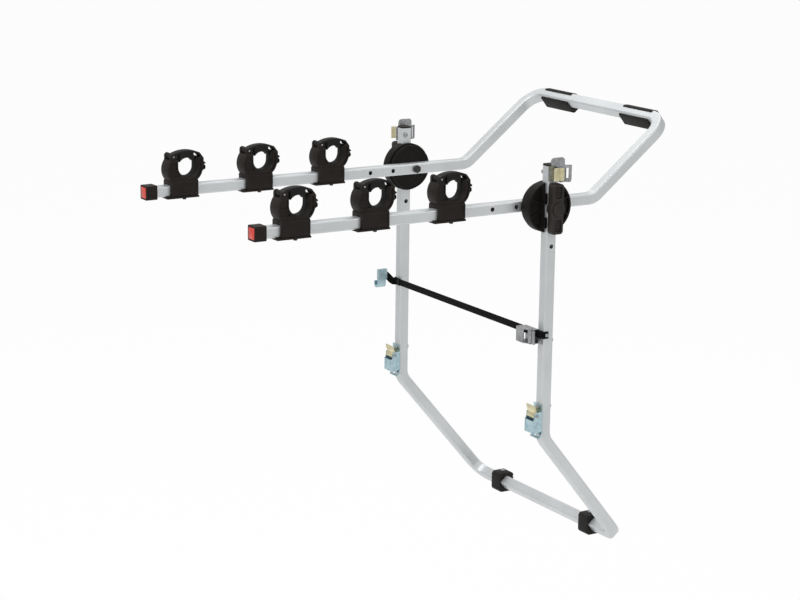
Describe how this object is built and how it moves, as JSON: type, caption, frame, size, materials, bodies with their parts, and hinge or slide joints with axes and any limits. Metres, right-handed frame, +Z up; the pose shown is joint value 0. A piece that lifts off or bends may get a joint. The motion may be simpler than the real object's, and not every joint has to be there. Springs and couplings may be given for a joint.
{
  "type": "trunk mounted bike rack",
  "caption": "Trunk mounted bike rack: folding square-tube frames joined at clamp hubs, with lined strap cradles on two arms, rubber car pads and cam buckles.",
  "frame": {"origin": "middle of the hub axis, between the two uprights", "axes": "+X across the car, along the hub axis; +Y forward, towards the car; +Z up"},
  "size_m": [0.6812, 1.0789, 0.9947],
  "materials": {
    "silver_tube": "silver powder coat, satin",
    "black_plastic": "moulded glass-filled nylon, fine texture",
    "black_rubber": "soft rubber, matt",
    "black_steel": "black oxide",
    "zinc_steel": "bright zinc plate",
    "blue_zinc": "blue passivated zinc plate",
    "yellow_zinc": "yellow passivated zinc casting",
    "red_reflector": "clear red prismatic plastic",
    "black_webbing": "woven polypropylene webbing"
  },
  "bodies": {
    "lower_frame": {"lower_frame_tube": "silver_tube", "upright_plug_r": "black_plastic", "upright_plug_l": "black_plastic", "frame_disc_r": "black_plastic", "frame_disc_l": "black_plastic", "hub_bolts": "black_steel", "hub_washers": "zinc_steel", "low_pad_r": "black_rubber", "low_pad_l": "black_rubber", "low_pad_bolts": "zinc_steel", "top_buckle_r": "zinc_steel", "top_buckle_l": "zinc_steel", "elbow_buckle_r": "blue_zinc", "elbow_buckle_l": "blue_zinc", "cam_pins": "zinc_steel", "buckle_bolts": "zinc_steel", "cross_strap": "black_webbing", "strap_rivets": "zinc_steel", "strap_buckle": "zinc_steel", "strap_hook": "blue_zinc"},
    "carrier": {"carrier_tube": "silver_tube", "arm_disc_r": "black_plastic", "arm_disc_l": "black_plastic", "end_cap_r": "black_plastic", "end_cap_l": "black_plastic", "reflector_r": "red_reflector", "reflector_l": "red_reflector", "top_pad_r": "black_rubber", "top_pad_l": "black_rubber", "clamp_plates": "black_plastic", "clamp_screws": "black_steel", "strap_pins": "zinc_steel", "strap_buttons": "black_plastic", "saddle_r1": "black_plastic", "saddle_r2": "black_plastic", "saddle_r3": "black_plastic", "saddle_l1": "black_plastic", "saddle_l2": "black_plastic", "saddle_l3": "black_plastic", "liner_r1": "black_rubber", "liner_r2": "black_rubber", "liner_r3": "black_rubber", "liner_l1": "black_rubber", "liner_l2": "black_rubber", "liner_l3": "black_rubber"},
    "knob_r": {"knob_r": "black_plastic"},
    "knob_l": {"knob_l": "black_plastic"},
    "strap_r1": {"strap_r1": "black_rubber"},
    "strap_r2": {"strap_r2": "black_rubber"},
    "strap_r3": {"strap_r3": "black_rubber"},
    "strap_l1": {"strap_l1": "black_rubber"},
    "strap_l2": {"strap_l2": "black_rubber"},
    "strap_l3": {"strap_l3": "black_rubber"},
    "top_cam_r": {"top_cam_r": "yellow_zinc"},
    "elbow_cam_r": {"elbow_cam_r": "yellow_zinc"},
    "top_cam_l": {"top_cam_l": "yellow_zinc"},
    "elbow_cam_l": {"elbow_cam_l": "yellow_zinc"},
    "strap_cam": {"strap_cam": "zinc_steel"}
  },
  "joints": [
    {"name": "carrier_fold", "type": "hinge", "parent": "lower_frame", "child": "carrier", "pos_m": [0, 0, 0], "axis": [1, 0, 0], "range_deg": [-30, 75]},
    {"name": "knob_turn_r", "type": "hinge", "parent": "lower_frame", "child": "knob_r", "pos_m": [0.3, 0, 0], "axis": [1, 0, 0], "continuous": true},
    {"name": "knob_turn_l", "type": "hinge", "parent": "lower_frame", "child": "knob_l", "pos_m": [-0.3, 0, 0], "axis": [-1, 0, 0], "continuous": true},
    {"name": "strap_open_r1", "type": "hinge", "parent": "carrier", "child": "strap_r1", "pos_m": [0.256, -0.636, 0.07693], "axis": [1, 0, 0], "range_deg": [0, 110]},
    {"name": "strap_open_r2", "type": "hinge", "parent": "carrier", "child": "strap_r2", "pos_m": [0.256, -0.448, 0.07693], "axis": [1, 0, 0], "range_deg": [0, 110]},
    {"name": "strap_open_r3", "type": "hinge", "parent": "carrier", "child": "strap_r3", "pos_m": [0.256, -0.26, 0.07693], "axis": [1, 0, 0], "range_deg": [0, 110]},
    {"name": "strap_open_l1", "type": "hinge", "parent": "carrier", "child": "strap_l1", "pos_m": [-0.256, -0.636, 0.07693], "axis": [1, 0, 0], "range_deg": [0, 110]},
    {"name": "strap_open_l2", "type": "hinge", "parent": "carrier", "child": "strap_l2", "pos_m": [-0.256, -0.448, 0.07693], "axis": [1, 0, 0], "range_deg": [0, 110]},
    {"name": "strap_open_l3", "type": "hinge", "parent": "carrier", "child": "strap_l3", "pos_m": [-0.256, -0.26, 0.07693], "axis": [1, 0, 0], "range_deg": [0, 110]},
    {"name": "top_cam_press_r", "type": "hinge", "parent": "lower_frame", "child": "top_cam_r", "pos_m": [0.3271, 0.01, 0.076], "axis": [0, 0, -1], "range_deg": [0, 20], "stiffness_Nm_per_rad": 0.15, "springref_deg": -17.19},
    {"name": "elbow_cam_press_r", "type": "hinge", "parent": "lower_frame", "child": "elbow_cam_r", "pos_m": [0.3, -0.0271, -0.463], "axis": [-1, 0, 0], "range_deg": [0, 20], "stiffness_Nm_per_rad": 0.15, "springref_deg": -17.19},
    {"name": "top_cam_press_l", "type": "hinge", "parent": "lower_frame", "child": "top_cam_l", "pos_m": [-0.3271, 0.01, 0.076], "axis": [0, 0, 1], "range_deg": [0, 20], "stiffness_Nm_per_rad": 0.15, "springref_deg": -17.19},
    {"name": "elbow_cam_press_l", "type": "hinge", "parent": "lower_frame", "child": "elbow_cam_l", "pos_m": [-0.3, -0.0271, -0.463], "axis": [-1, 0, 0], "range_deg": [0, 20], "stiffness_Nm_per_rad": 0.15, "springref_deg": -17.19},
    {"name": "strap_cam_press", "type": "hinge", "parent": "lower_frame", "child": "strap_cam", "pos_m": [0.284, -0.0271, -0.288], "axis": [0, 0, 1], "range_deg": [0, 20], "stiffness_Nm_per_rad": 0.15, "springref_deg": -17.19}
  ]
}
